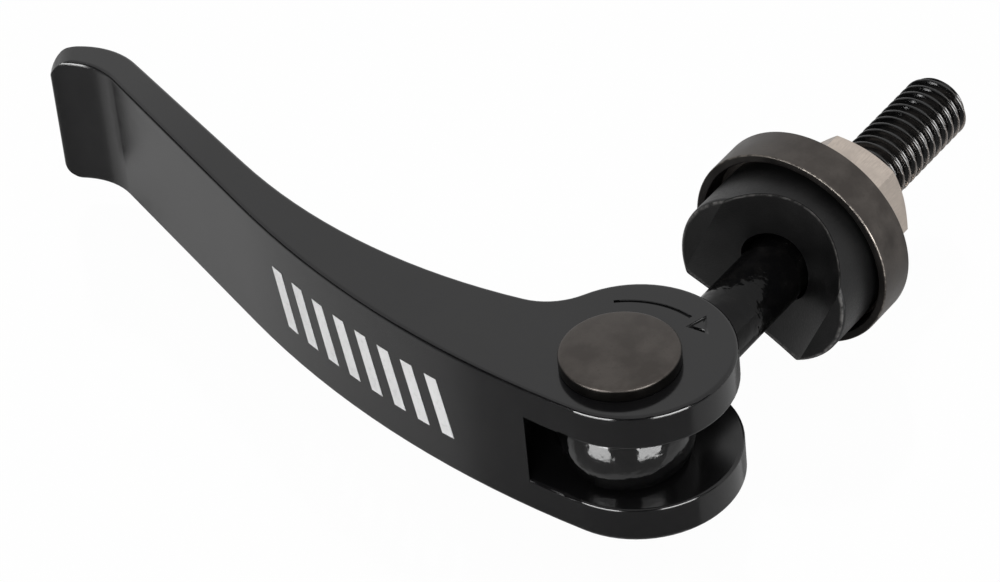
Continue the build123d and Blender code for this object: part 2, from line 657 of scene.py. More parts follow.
# ---------------------------------------------------------------------------------------------
# finishes
# ---------------------------------------------------------------------------------------------


@dataclass(frozen=True)
class SatinEnamel:
    """Black baked enamel on a casting, with a fine orange peel.

    It is dull in the slot and where the thumb rubs it. Sizes and places are in millimetres.
    """

    pivot_x: float
    name: str = "satin_enamel"
    base: Colour = (0.0045, 0.0045, 0.005)
    faded: Colour = (0.007, 0.0068, 0.007)
    fading_size: float = 6.0
    peel_size: float = 0.35
    peel_depth: float = 0.0015
    casting_size: float = 3.5
    casting_depth: float = 0.01
    sheen_size: float = 1.4
    sheen_span: Span = (0.3, 0.7)
    roughness: Span = (0.11, 0.16)
    gloss: float = 0.42
    thumb: Span = (46.0, 58.0)
    thumb_gloss: float = 0.5
    thumb_roughness: float = 0.09
    half_slot: float = 3.2
    slot_radius: float = 8.4
    slot_edge: float = 0.25
    slot_start: Span = (-0.5, 0.5)
    slot_gloss: float = 0.06
    slot_roughness: float = 0.07
    cam_offset: float = 1.75
    cam_radius: float = 8.5
    wall_margin: float = 0.03
    rim_margin: float = 0.02
    cam_margin: float = 0.05

    def near(self, sheet: ShaderSheet, centre_x: float, reach: float) -> Socket:
        """Where the surface is close to an upright axis in the middle plane.

        Args:
            sheet: the material's tree.
            centre_x: place of the axis along the stud.
            reach: distance from it.

        Returns:
            1 within reach, 0 elsewhere.
        """
        return sheet.math("LESS_THAN", sheet.distance(X=centre_x, Y=0.0), reach)

    def slot(self, sheet: ShaderSheet) -> tuple[Socket, Socket]:
        """Where the slot is: its round end with the rims, and its walls with the ears' inner faces.

        Args:
            sheet: the material's tree.

        Returns:
            The two masks.
        """
        height = sheet.math("ABSOLUTE", sheet.coordinate("Z"))
        within = self.near(sheet, self.pivot_x, self.slot_radius + self.wall_margin)
        rimmed = sheet.math("LESS_THAN", height, self.half_slot + self.slot_edge + self.rim_margin)
        behind = sheet.spread(sheet.coordinate("Y"), self.slot_start)
        wall = sheet.math("MULTIPLY", sheet.math("MULTIPLY", within, rimmed), behind)
        flat_radius = self.cam_radius - self.slot_edge - self.cam_margin
        ears = sheet.math("MAXIMUM", within, self.near(sheet, self.pivot_x + self.cam_offset, flat_radius))
        between = sheet.math("LESS_THAN", height, self.half_slot + self.wall_margin)
        return wall, sheet.math("MULTIPLY", ears, between)

    def make(self) -> bpy.types.Material:
        """Builds the material.

        Returns:
            The material.
        """
        sheet = ShaderSheet(self.name)
        sheet.set(Base_Color=sheet.blend(sheet.noise(self.fading_size), self.base, self.faded))
        wall, inside = self.slot(sheet)
        thumb = sheet.spread(sheet.coordinate("Y"), self.thumb)
        rubbed = sheet.math("MULTIPLY", thumb, self.thumb_roughness)
        dulled = sheet.math("MAXIMUM", rubbed, sheet.math("MULTIPLY", inside, self.slot_roughness))
        even = sheet.spread(sheet.noise(self.sheen_size), self.sheen_span, self.roughness)
        sheet.set(Roughness=sheet.math("ADD", even, dulled))
        waves = sheet.relief(sheet.noise(self.casting_size, 1.0), self.casting_depth)
        sheet.set(Normal=sheet.relief(sheet.noise(self.peel_size, 2.0), self.peel_depth, waves))
        sheet.set(IOR=1.45, Specular_IOR_Level=self.gloss)
        gloss = sheet.spread(thumb, (0.0, 1.0), (self.gloss, self.thumb_gloss))
        kept = sheet.spread(wall, (0.0, 1.0), (1.0, self.slot_gloss / self.gloss))
        sheet.set(Specular_IOR_Level=sheet.math("MULTIPLY", gloss, kept))
        return sheet.material


@dataclass(frozen=True)
class OxideSteel:
    """Browned steel: mottled oxide, speckled by handling, rubbed bright on its corners.

    Sizes and places are in millimetres. Below a place along its own axis the colour is darkened as painted
    shade.
    """

    name: str
    axis: Axis
    painted_shade_below: float
    painted_shade_fade: float = 0.15
    base: Colour = (0.055, 0.049, 0.045)
    blotch: Colour = (0.078, 0.07, 0.064)
    worn: Colour = (0.3, 0.27, 0.24)
    # colour of the painted shade
    painted_shade_colour: Colour = (0.008, 0.0075, 0.007)
    patch_size: float = 2.2
    patch_span: Span = (0.38, 0.64)
    speck_size: float = 0.25
    speck_span: Span = (0.55, 0.75)
    speck_share: float = 0.5
    speck_depth: float = 0.003
    wear_size: float = 0.5
    wear_span: Span = (0.4, 0.62)
    wear: Span = (0.15, 1.0)
    line_size: float = 1.2
    line_closeness: float = 1.0
    line_depth: float = 0.006
    sheen_span: Span = (0.35, 0.65)
    roughness: Span = (0.36, 0.48)

    def make(self) -> bpy.types.Material:
        """Builds the material.

        Returns:
            The material.
        """
        sheet = ShaderSheet(self.name)
        patches = sheet.noise(self.patch_size, 5.0)
        specks = sheet.noise(self.speck_size, 2.0)
        mottled = sheet.blend(sheet.spread(patches, self.patch_span), self.base, self.blotch)
        speckled = sheet.math("MULTIPLY", sheet.spread(specks, self.speck_span), self.speck_share)
        skin = sheet.blend(speckled, mottled, self.base)
        height = sheet.coordinate(self.axis)
        # painted shade: the colour turns darker below a place along the axis
        in_painted_shade = sheet.spread(height, (self.painted_shade_below, self.painted_shade_below - self.painted_shade_fade))
        skin = sheet.blend(in_painted_shade, skin, self.painted_shade_colour)
        broken = sheet.spread(sheet.noise(self.wear_size, 4.0), self.wear_span, self.wear)
        edge = sheet.math("MULTIPLY", sheet.attribute("wear"), broken)
        sheet.set(Base_Color=sheet.blend(edge, skin, self.worn))
        sheet.set(Roughness=sheet.spread(patches, self.sheen_span, self.roughness), Metallic=1.0)
        along_stud = self.axis is Axis.STUD
        closeness = (self.line_closeness, 1.0, 1.0) if along_stud else (1.0, 1.0, self.line_closeness)
        lines = sheet.noise(self.line_size, 3.0, sheet.stretched(closeness))
        sheet.set(Normal=sheet.relief(specks, self.speck_depth, sheet.relief(lines, self.line_depth)))
        return sheet.material


@dataclass(frozen=True)
class BlackSteel:
    """Blackened steel under a thin oil film, with an uneven skin.

    It can turn dull along the stud from a given place on, and its thread's crests can be rubbed
    bare. Sizes and places are in millimetres.
    """

    name: str
    gloss: float
    roughness: Span
    grain_depth: float
    dent_size: float
    dent_depth: float
    base: Colour = (0.003, 0.003, 0.0032)
    bare: Colour = (0.01, 0.0095, 0.009)
    bare_size: float = 1.1
    bare_span: Span = (0.5, 0.7)
    bare_share: float = 0.5
    grain_size: float = 0.4
    grain_span: Span = (0.3, 0.7)
    dull_from: float | None = None
    dull_fade: float = 3.0
    dull_gloss: float = 0.15
    rubbed_crests: bool = False
    crest: Colour = (0.36, 0.32, 0.29)
    crest_span: Span = (0.78, 1.0)
    crest_size: float = 0.7
    crest_break: Span = (0.35, 0.65)
    crest_wear: Span = (0.5, 1.0)

    def make(self) -> bpy.types.Material:
        """Builds the material.

        Returns:
            The material.
        """
        sheet = ShaderSheet(self.name)
        grain = sheet.noise(self.grain_size, 4.0)
        thin = sheet.spread(sheet.noise(self.bare_size, 4.0), self.bare_span, (0.0, self.bare_share))
        skin = sheet.blend(thin, self.base, self.bare)
        if self.rubbed_crests:
            broken = sheet.spread(sheet.noise(self.crest_size, 3.0), self.crest_break, self.crest_wear)
            crests = sheet.spread(sheet.attribute("wear"), self.crest_span)
            bared = sheet.math("MULTIPLY", crests, broken)
            skin = sheet.blend(bared, skin, self.crest)
            sheet.set(Metallic=bared)
        sheet.set(Base_Color=skin, Roughness=sheet.spread(grain, self.grain_span, self.roughness))
        dents = sheet.relief(sheet.noise(self.dent_size, 2.0), self.dent_depth)
        sheet.set(Normal=sheet.relief(grain, self.grain_depth, dents))
        sheet.set(IOR=1.5, Specular_IOR_Level=self.gloss)
        if self.dull_from is not None:
            span = (self.dull_from, self.dull_from + self.dull_fade)
            fading = sheet.spread(sheet.coordinate("X"), span, (self.gloss, self.dull_gloss))
            sheet.set(Specular_IOR_Level=fading)
        return sheet.material


@dataclass(frozen=True)
class MouldedPlastic:
    """Black glass-filled plastic: matt, finely grained, lighter along its round rim, partly rubbed and partly
    a painted highlight.

    Sizes and places are in millimetres, the rim's from the middle of the moulding.
    """

    lift: float
    name: str = "moulded_plastic"
    base: Colour = (0.0025, 0.0025, 0.0027)
    # the rim's lighter colour: partly real rubbing and partly a painted highlight
    rubbed: Colour = (0.16, 0.155, 0.15)
    rim_start: Span = (7.65, 7.85)
    rim_end: Span = (7.96, 7.93)
    rim_size: float = 0.5
    rim_span: Span = (0.35, 0.65)
    rim_wear_and_highlight: Span = (0.1, 0.9)
    cloud_size: float = 2.5
    cloud_span: Span = (0.35, 0.65)
    cloud_share: float = 0.02
    grain_size: float = 0.16
    grain_span: Span = (0.3, 0.7)
    grain_depth: float = 0.012
    roughness: Span = (0.36, 0.47)
    gloss: float = 0.28

    def make(self) -> bpy.types.Material:
        """Builds the material.

        Returns:
            The material.
        """
        sheet = ShaderSheet(self.name)
        grain = sheet.noise(self.grain_size)
        clouds = sheet.spread(sheet.noise(self.cloud_size, 4.0), self.cloud_span, (0.0, self.cloud_share))
        radius = sheet.distance(Y=0.0, Z=self.lift)
        # the lighter rim is partly real rubbing and partly a painted highlight
        rim = sheet.math("MULTIPLY", sheet.spread(radius, self.rim_start), sheet.spread(radius, self.rim_end))
        broken = sheet.spread(sheet.noise(self.rim_size), self.rim_span, self.rim_wear_and_highlight)
        pale = sheet.math("MAXIMUM", sheet.math("MULTIPLY", rim, broken), clouds)
        sheet.set(Base_Color=sheet.blend(pale, self.base, self.rubbed))
        sheet.set(Roughness=sheet.spread(grain, self.grain_span, self.roughness))
        sheet.set(Normal=sheet.relief(grain, self.grain_depth), Specular_IOR_Level=self.gloss)
        return sheet.material


@dataclass(frozen=True)
class PlatedSteel:
    """Plated steel of a cut hexagon bar: pale, with fine drawn lines and dull marks, in millimetres."""

    name: str = "plated_steel"
    base: Colour = (0.51, 0.445, 0.39)
    dull: Colour = (0.33, 0.29, 0.26)
    line_size: float = 0.1
    line_closeness: Colour = (0.12, 1.0, 1.0)
    line_span: Span = (0.4, 0.65)
    line_share: float = 0.45
    line_depth: float = 0.006
    mark_size: float = 1.5
    mark_span: Span = (0.4, 0.7)
    mark_share: float = 0.6
    sheen_span: Span = (0.3, 0.7)
    roughness: Span = (0.3, 0.45)

    def make(self) -> bpy.types.Material:
        """Builds the material.

        Returns:
            The material.
        """
        sheet = ShaderSheet(self.name)
        lines = sheet.noise(self.line_size, 3.0, sheet.stretched(self.line_closeness))
        marks = sheet.spread(sheet.noise(self.mark_size, 5.0), self.mark_span, (0.0, self.mark_share))
        streaks = sheet.spread(lines, self.line_span, (0.0, self.line_share))
        sheet.set(Base_Color=sheet.blend(sheet.math("MAXIMUM", streaks, marks), self.base, self.dull))
        sheet.set(Roughness=sheet.spread(lines, self.sheen_span, self.roughness), Metallic=1.0)
        sheet.set(Normal=sheet.relief(lines, self.line_depth))
        return sheet.material


@dataclass(frozen=True)
class PrintInk:
    """White pad-printed ink, a little uneven, in millimetres."""

    name: str = "print_ink"
    base: Colour = (0.86, 0.86, 0.86)
    thin: Colour = (0.7, 0.7, 0.7)
    patch_size: float = 0.4
    patch_span: Span = (0.55, 0.8)
    roughness: float = 0.45

    def make(self) -> bpy.types.Material:
        """Builds the material.

        Returns:
            The material.
        """
        sheet = ShaderSheet(self.name)
        uneven = sheet.spread(sheet.noise(self.patch_size, 4.0), self.patch_span)
        sheet.set(Base_Color=sheet.blend(uneven, self.base, self.thin), Roughness=self.roughness)
        return sheet.material


# ---------------------------------------------------------------------------------------------
# the lever's sub-assemblies
# ---------------------------------------------------------------------------------------------


@dataclass
class HandLever:
    """The painted casting with a sunk arrow round the pivot and printed marks on the arm.

    Sizes are in millimetres and degrees, the arrow's about the pin.
    """

    pivot_x: float = field(default_factory=lambda: joint_place("lever_pivot").x)
    half_width: float = field(default_factory=lambda: highest("lever").z)
    crease: float = 35.0
    arrow_radius: float = 7.65
    stroke: float = 0.34
    arrow_turns: int = 24
    arrow_start: float = 38.0
    arrow_stop: float = -14.0
    head_gap: float = 5.0
    head_length: float = 15.0
    head_half: float = 1.05
    head_open: float = 0.5
    arrow_depth: float = 0.2
    cutter_rise: float = 1.0
    mark_count: int = 8
    mark_start: float = 14.5
    mark_pitch: float = 2.75
    mark_width: float = 1.3
    mark_height: float = 5.6
    mark_columns: int = 5
    mark_rows: int = 9
    mark_slant: float = 0.25
    mark_film: float = 0.02
    mark_wall: float = 0.03
    clear: float = 80.0

    def about_pin(self, radius: float, angle: float) -> Vector:
        """A point above the upper face by its distance from the pin and its direction.

        Args:
            radius: distance from the pin, in mm.
            angle: direction in degrees, from the stud's round to the arm's.

        Returns:
            The point, in metres.
        """
        turn = math.radians(angle)
        across, along = radius * math.cos(turn), radius * math.sin(turn)
        return Vector((self.pivot_x + across, along, self.half_width + self.cutter_rise)) * MM

    def arrow_cutter(self) -> bpy.types.Object:
        """A prism of the curved arrow that reaches its depth into the upper face.

        Returns:
            The prism, to be cut out of the casting.
        """
        mesh = bpy.data.meshes.new("arrow_cutter")
        sides = (self.arrow_radius + self.stroke / 2, self.arrow_radius - self.stroke / 2)
        sweep = self.arrow_stop - self.arrow_start
        base = self.arrow_stop - self.head_gap
        barbs = [
            self.about_pin(self.arrow_radius + self.head_half, base),
            self.about_pin(self.arrow_radius, base - self.head_length),
            self.about_pin(self.arrow_radius - self.head_half, base),
        ]
        middle = sum(barbs, Vector()) / 3
        with worked(mesh) as sheet:
            shaft = []
            for step in range(self.arrow_turns + 1):
                angle = self.arrow_start + sweep * step / self.arrow_turns
                shaft.append([sheet.verts.new(self.about_pin(side, angle)) for side in sides])
            for (outer, inner), (next_outer, next_inner) in zip(shaft, shaft[1:]):
                sheet.faces.new((outer, next_outer, next_inner, inner))
            rim = [sheet.verts.new(barb) for barb in barbs]
            hole = [sheet.verts.new(middle.lerp(barb, self.head_open)) for barb in barbs]
            for index in range(3):
                onward = (index + 1) % 3
                sheet.faces.new((rim[index], rim[onward], hole[onward], hole[index]))
            sunk = bmesh.ops.extrude_face_region(sheet, geom=list(sheet.faces))
            moved = [part for part in sunk["geom"] if isinstance(part, bmesh.types.BMVert)]
            depth = (self.cutter_rise + self.arrow_depth) * MM
            bmesh.ops.translate(sheet, verts=moved, vec=(0, 0, -depth))
            bmesh.ops.recalc_face_normals(sheet, faces=sheet.faces)
        return new_piece("arrow_cutter", mesh)

    def casting(self, finish: bpy.types.Material) -> bpy.types.Object:
        """The casting with its sunk arrow.

        Args:
            finish: the enamel.

        Returns:
            The dressed piece.
        """
        piece = new_piece("lever_casting", merged_copy("lever"))
        cutter = self.arrow_cutter()
        cut = piece.modifiers.new("arrow", "BOOLEAN")
        cut.operation = "DIFFERENCE"
        cut.solver = "EXACT"
        cut.object = cutter
        # the cut is made with a millimetre as the unit, so that its small faces stay exact
        enlarged = Matrix.Scale(1 / MM, 4)
        piece.data.transform(enlarged)
        cutter.data.transform(enlarged)
        mesh = plain_mesh(piece)
        mesh.transform(enlarged.inverted())
        piece.modifiers.remove(cut)
        bpy.data.objects.remove(cutter)
        piece.data = mesh
        piece.data.materials.clear()
        piece.data.materials.append(finish)
        evened(piece, self.crease)
        shaded_as(piece, "lever")
        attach(piece, Body.LEVER.value)
        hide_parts("lever")
        return piece

    def mark_recipe(self, casting: bpy.types.Object, ink: bpy.types.Material) -> GeometryRecipe:
        """A row of slanted bars, laid on the arm's outer face by rays from outside.

        Args:
            casting: the finished casting, which the bars follow.
            ink: their material.

        Returns:
            The tree, ready to run.
        """
        recipe = GeometryRecipe(
            "printed_marks",
            {
                "Count": self.mark_count,
                "Start": self.mark_start * MM,
                "Pitch": self.mark_pitch * MM,
                "Width": self.mark_width * MM,
                "Height": self.mark_height * MM,
                "Slant": self.mark_slant,
                "Film": self.mark_film * MM,
                "Clear": self.clear * MM,
                "Columns": self.mark_columns,
                "Rows": self.mark_rows,
            },
        )
        size = recipe.size
        bar = recipe.add("GeometryNodeMeshGrid", Size_X=size("Width"), Size_Y=size("Height"))
        recipe.fill(bar, Vertices_X=size("Columns"), Vertices_Y=size("Rows"))
        step = recipe.add("ShaderNodeCombineXYZ", X=size("Pitch"))
        row = recipe.add("GeometryNodeMeshLine", Count=size("Count"), Offset=step.outputs[0])
        laid = recipe.add("GeometryNodeInstanceOnPoints", Points=row.outputs[0], Instance=bar.outputs["Mesh"])
        real = recipe.add("GeometryNodeRealizeInstances", Geometry=laid.outputs[0])
        place = recipe.position().outputs
        lean = recipe.math("MULTIPLY", place["Y"], size("Slant"))
        along = recipe.math("ADD", recipe.math("ADD", place["X"], lean), size("Start"))
        outside = recipe.math("MULTIPLY", size("Clear"), -1.0)
        source = recipe.add("ShaderNodeCombineXYZ", X=outside, Y=along, Z=place["Y"])
        target = recipe.add("GeometryNodeObjectInfo", Object=casting)
        ray = recipe.add(
            "GeometryNodeRaycast",
            Target_Geometry=target.outputs["Geometry"],
            Source_Position=source.outputs[0],
            Ray_Direction=(1.0, 0.0, 0.0),
            Ray_Length=size("Clear"),
        )
        lift = recipe.add("ShaderNodeVectorMath")
        lift.operation = "SCALE"
        recipe.fill(lift, Vector=ray.outputs["Hit Normal"], Scale=size("Film"))
        put = recipe.add("GeometryNodeSetPosition", Geometry=real.outputs[0])
        recipe.fill(put, Position=ray.outputs["Hit Position"], Offset=lift.outputs[0])
        recipe.close(put.outputs[0], ink)
        return recipe

    def marks(self, casting: bpy.types.Object, ink: bpy.types.Material) -> bpy.types.Object:
        """The printed bars, with the thickness of their film.

        Args:
            casting: the finished casting, which the bars follow.
            ink: their material.

        Returns:
            The dressed piece.
        """
        mesh = self.mark_recipe(casting, ink).mesh()
        with worked(mesh) as sheet:
            bmesh.ops.solidify(sheet, geom=sheet.faces, thickness=self.mark_wall * MM)
            bmesh.ops.recalc_face_normals(sheet, faces=sheet.faces)
        piece = new_piece("printed_marks", mesh)
        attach(piece, Body.LEVER.value)
        return piece

    def build(self) -> list[bpy.types.Object]:
        """Builds and dresses the lever.

        Returns:
            Its pieces.
        """
        casting = self.casting(SatinEnamel(self.pivot_x).make())
        return [casting, self.marks(casting, PrintInk().make())]


@dataclass
class PivotPin:
    """The riveted pivot pin, with a low crowned head above and a formed head below.

    Sizes are in millimetres.
    """

    pivot_x: float = field(default_factory=lambda: joint_place("lever_pivot").x)
    half_width: float = field(default_factory=lambda: highest("lever").z)
    top: float = field(default_factory=lambda: highest("pivot_pin").z)
    bottom: float = field(default_factory=lambda: lowest("pivot_pin").z)
    radius: float = 2.75
    head_radius: float = 5.0
    head_round: float = 0.3
    head_wear: float = 0.04
    crown: float = 0.3
    crown_steps: int = 8
    rivet_radius: float = 4.2
    rivet_round: float = 0.85
    crease: float = 40.0

    def outline(self) -> tuple[Corner, ...]:
        """The pin's outline from the lower head to the crown of the upper one.

        Returns:
            Its corners.
        """
        ball = (self.head_radius**2 + self.crown**2) / (2 * self.crown)
        crowned = []
        for step in range(1, self.crown_steps + 1):
            radius = self.head_radius * (1 - step / self.crown_steps)
            drop = ball - math.sqrt(ball**2 - radius**2)
            crowned.append(Corner(self.top - drop, radius))
        return (
            Corner(self.bottom, 0),
            Corner(self.bottom, self.rivet_radius, self.rivet_round),
            Corner(-self.half_width, self.rivet_radius),
            Corner(-self.half_width, self.radius),
            Corner(self.half_width, self.radius),
            Corner(self.half_width, self.head_radius, self.head_round / 2),
            Corner(self.top - self.crown, self.head_radius, self.head_round, self.head_wear),
            *crowned,
        )

    def build(self) -> list[bpy.types.Object]:
        """Builds and dresses the pin.

        Returns:
            Its one piece.
        """
        centre = Vector((self.pivot_x * MM, 0, 0))
        piece = new_piece("pivot_pin_turned", Turning("pivot_pin", Axis.PIN, centre, self.outline()).mesh())
        # the head's side and everything below this height are darkened with painted shade
        side_top = self.top - self.crown - self.head_round / 6
        piece.data.materials.append(OxideSteel("oxide_pin", Axis.PIN, side_top).make())
        evened(piece, self.crease)
        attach(piece, Body.LEVER.value)
        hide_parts("pivot_pin")
        return [piece]


@dataclass
class Stud:
    """The eye bolt: the forged eye and shank, and the thread cut on its end.

    Sizes are in millimetres, the thread's flats as shares of its pitch.
    """

    pivot_x: float = field(default_factory=lambda: joint_place("lever_pivot").x)
    length: float = field(default_factory=lambda: highest("eye_bolt").x)
    eye_reach: float = 5.45
    crease: float = 35.0
    crest_radius: float = 3.0
    root_radius: float = 2.46
    pitch: float = 1.0
    crest_flat: float = 0.125
    root_flat: float = 0.25
    chamfer: float = 0.7
    lead_in: float = 2.6
    lead_rise: float = 2.0
    around: int = 48
    stations: int = 16
    thread_crease: float = 62.0

    def eye_and_shank(self) -> bpy.types.Object:
        """The eye, neck and shank, cut off where the free thread begins.

        Returns:
            The piece, with its finish.
        """
        mesh = merged_copy("eye_bolt")
        with worked(mesh) as sheet:
            everything = list(sheet.verts) + list(sheet.edges) + list(sheet.faces)
            plane = {"plane_co": (0, 0, 0), "plane_no": (1, 0, 0), "dist": 1e-7}
            cut = bmesh.ops.bisect_plane(sheet, geom=everything, clear_outer=True, **plane)
            rim = [part for part in cut["geom_cut"] if isinstance(part, bmesh.types.BMEdge)]
            bmesh.ops.edgenet_fill(sheet, edges=rim)
        piece = new_piece("eye_and_shank", mesh)
        finish = BlackSteel(
            "black_forging",
            gloss=0.55,
            roughness=(0.05, 0.15),
            grain_depth=0.0025,
            dent_size=1.0,
            dent_depth=0.06,
            dull_from=self.pivot_x + self.eye_reach,
        )
        piece.data.materials.append(finish.make())
        evened(piece, self.crease)
        shaded_as(piece, "eye_bolt")
        return piece

    def thread_recipe(self, finish: bpy.types.Material) -> GeometryRecipe:
        """The cut thread as one sheet that winds round the stud's axis.

        Args:
            finish: its material.

        Returns:
            The tree, ready to run.
        """
        turns = math.ceil(self.length / self.pitch) + 1
        recipe = GeometryRecipe(
            "cut_thread",
            {
                "Pitch": self.pitch * MM,
                "Crest": self.crest_radius * MM,
                "Root": self.root_radius * MM,
                "Root_Start": (1 - self.root_flat) / 2,
                "Flank": (1 - self.root_flat - self.crest_flat) / 2,
                "Length": self.length * MM,
                "End_Radius": (self.crest_radius - self.chamfer) * MM,
                "Start_Radius": self.lead_in * MM,
                "Start_Rise": self.lead_rise,
                "Turns": turns,
                "Stations": turns * self.stations + 1,
                "Around": self.around + 1,
            },
        )
        size, number = recipe.size, recipe.math
        span = number("MULTIPLY", size("Turns"), size("Pitch"))
        grid = recipe.add("GeometryNodeMeshGrid", Size_X=span, Size_Y=1.0)
        recipe.fill(grid, Vertices_X=size("Stations"), Vertices_Y=size("Around"))
        place = recipe.position().outputs
        share = number("ADD", place["Y"], 0.5)
        angle = number("MULTIPLY", share, 2 * math.pi)
        station = number("ADD", place["X"], number("MULTIPLY", span, 0.5))
        advance = number("MULTIPLY", number("SUBTRACT", share, 1.0), size("Pitch"))
        along = recipe.held(number("ADD", station, advance), 0.0, size("Length"))
        # the groove: flat at the root, straight flanks, narrow flat on the crest
        turn = number("DIVIDE", station, size("Pitch"))
        phase = number("ABSOLUTE", number("SUBTRACT", number("FRACT", turn), 0.5))
        flank = number("DIVIDE", number("SUBTRACT", size("Root_Start"), phase), size("Flank"))
        height = recipe.held(flank, 0.0, 1.0)
        depth = number("SUBTRACT", size("Crest"), size("Root"))
        cut = number("ADD", size("Root"), number("MULTIPLY", height, depth))
        point = number("ADD", size("End_Radius"), number("SUBTRACT", size("Length"), along))
        lead = number("ADD", size("Start_Radius"), number("MULTIPLY", along, size("Start_Rise")))
        radius = number("MINIMUM", number("MINIMUM", cut, point), lead)
        across = number("MULTIPLY", radius, number("COSINE", angle))
        up = number("MULTIPLY", radius, number("SINE", angle))
        spot = recipe.add("ShaderNodeCombineXYZ", X=along, Y=across, Z=up)
        wound = recipe.add("GeometryNodeSetPosition", Geometry=grid.outputs["Mesh"], Position=spot.outputs[0])
        marked = recipe.add("GeometryNodeStoreNamedAttribute", Geometry=wound.outputs[0])
        recipe.fill(marked, Name="wear", Value=height)
        recipe.close(marked.outputs[0], finish)
        return recipe

    def thread(self) -> bpy.types.Object:
        """The free thread with its bevelled end, closed at both ends.

        Returns:
            The piece, with its finish.
        """
        finish = BlackSteel(
            "black_thread",
            gloss=0.4,
            roughness=(0.12, 0.22),
            grain_depth=0.004,
            dent_size=1.8,
            dent_depth=0.03,
            rubbed_crests=True,
        )
        piece = new_piece("cut_thread", closed(self.thread_recipe(finish.make()).mesh()))
        evened(piece, self.thread_crease)
        return piece

    def build(self) -> list[bpy.types.Object]:
        """Builds and dresses the stud.

        Returns:
            Its pieces.
        """
        pieces = [self.eye_and_shank(), self.thread()]
        for piece in pieces:
            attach(piece, Body.STUD.value)
            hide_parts("eye_bolt")
        return pieces


@dataclass
class SaddleWasher:
    """The grooved plastic saddle that the cam bears on, in millimetres and degrees."""

    lift: float = field(default_factory=lambda: joint_place("saddle_turn").z)
    ridge_round: float = 0.35
    ridge_crease: float = 40.0
    crease: float = 35.0

    def build(self) -> list[bpy.types.Object]:
        """Builds and dresses the saddle.

        Returns:
            Its one piece.
        """
        piece = new_piece("saddle_moulding", merged_copy("saddle_washer"))
        soften(piece, self.ridge_round, self.ridge_crease)
        piece.data.materials.append(MouldedPlastic(self.lift).make())
        evened(piece, self.crease)
        shaded_as(piece, "saddle_washer")
        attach(piece, Body.SADDLE.value)
        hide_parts("saddle_washer")
        return [piece]


@dataclass
class CupWasher:
    """The pressed steel cup that holds the saddle, in millimetres and degrees."""

    front: float = field(default_factory=lambda: lowest("cup_washer").x)
    back: float = field(default_factory=lambda: highest("cup_washer").x)
    lift: float = 0.6
    floor: float = 1.3
    outer_radius: float = 9.35
    wall_radius: float = 8.6
    bore_radius: float = 3.6
    edge: float = 0.14
    bore_edge: float = 0.1
    front_wear: float = 0.5
    back_wear: float = 0.1
    steps: int = 192
    crease: float = 40.0

    def build(self) -> list[bpy.types.Object]:
        """Builds and dresses the cup.

        Returns:
            Its one piece.
        """
        inner = self.back - self.floor
        corners = (
            Corner(self.front, self.wall_radius, self.edge),
            Corner(self.front, self.outer_radius, self.edge, self.front_wear),
            Corner(self.back, self.outer_radius, self.edge, self.back_wear),
            Corner(self.back, self.bore_radius, self.bore_edge),
            Corner(inner, self.bore_radius, self.bore_edge),
            Corner(inner, self.wall_radius, self.edge),
        )
        centre = Vector((0, 0, self.lift * MM))
        piece = new_piece("cup_pressing", Turning("cup", Axis.STUD, centre, corners, self.steps).mesh())
        # its front face, by the saddle, is darkened with painted shade
        finish = OxideSteel(
            "oxide_cup",
            Axis.STUD,
            self.front + self.edge,
            painted_shade_colour=(0.022, 0.0205, 0.0195),
            line_closeness=8.0,
        )
        piece.data.materials.append(finish.make())
        evened(piece, self.crease)
        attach(piece, Body.CUP.value)
        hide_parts("cup_washer")
        return [piece]


@dataclass
class HexNut:
    """The plated hexagon nut, its bevels kept sharp past an angle in degrees."""

    crease: float = 20.0

    def build(self) -> list[bpy.types.Object]:
        """Builds and dresses the nut.

        Returns:
            Its one piece.
        """
        piece = new_piece("hex_nut", merged_copy("nut"))
        piece.data.materials.append(PlatedSteel().make())
        evened(piece, self.crease)
        shaded_as(piece, "nut")
        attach(piece, Body.NUT.value)
        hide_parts("nut")
        return [piece]


# ---------------------------------------------------------------------------------------------
# the studio
# ---------------------------------------------------------------------------------------------


@dataclass(frozen=True)
class SoftBox:
    """A soft lamp aimed at the object, placed by its direction and distance."""

    name: str
    azimuth: float
    elevation: float
    distance: float
    width: float
    height: float
    radiance: float
    reach: Reach

    def place(self, aim: Vector) -> None:
        """Puts the lamp into the scene.

        Args:
            aim: point that it faces.
        """
        lamp = bpy.data.lights.new(self.name, "AREA")
        lamp.shape = "RECTANGLE"
        lamp.size = self.width
        lamp.size_y = self.height
        lamp.energy = self.radiance * math.pi * self.width * self.height
        turn, rise = math.radians(self.azimuth), math.radians(self.elevation)
        away = Vector((math.cos(turn) * math.cos(rise), math.sin(turn) * math.cos(rise), math.sin(rise)))
        holder = bpy.data.objects.new(self.name, lamp)
        holder.location = aim + away * self.distance
        holder.rotation_euler = away.to_track_quat("Z", "Y").to_euler()
        holder.visible_camera = False
        holder.visible_diffuse = self.reach is Reach.MATT
        holder.visible_glossy = self.reach is Reach.MIRRORED
        bpy.context.scene.collection.objects.link(holder)


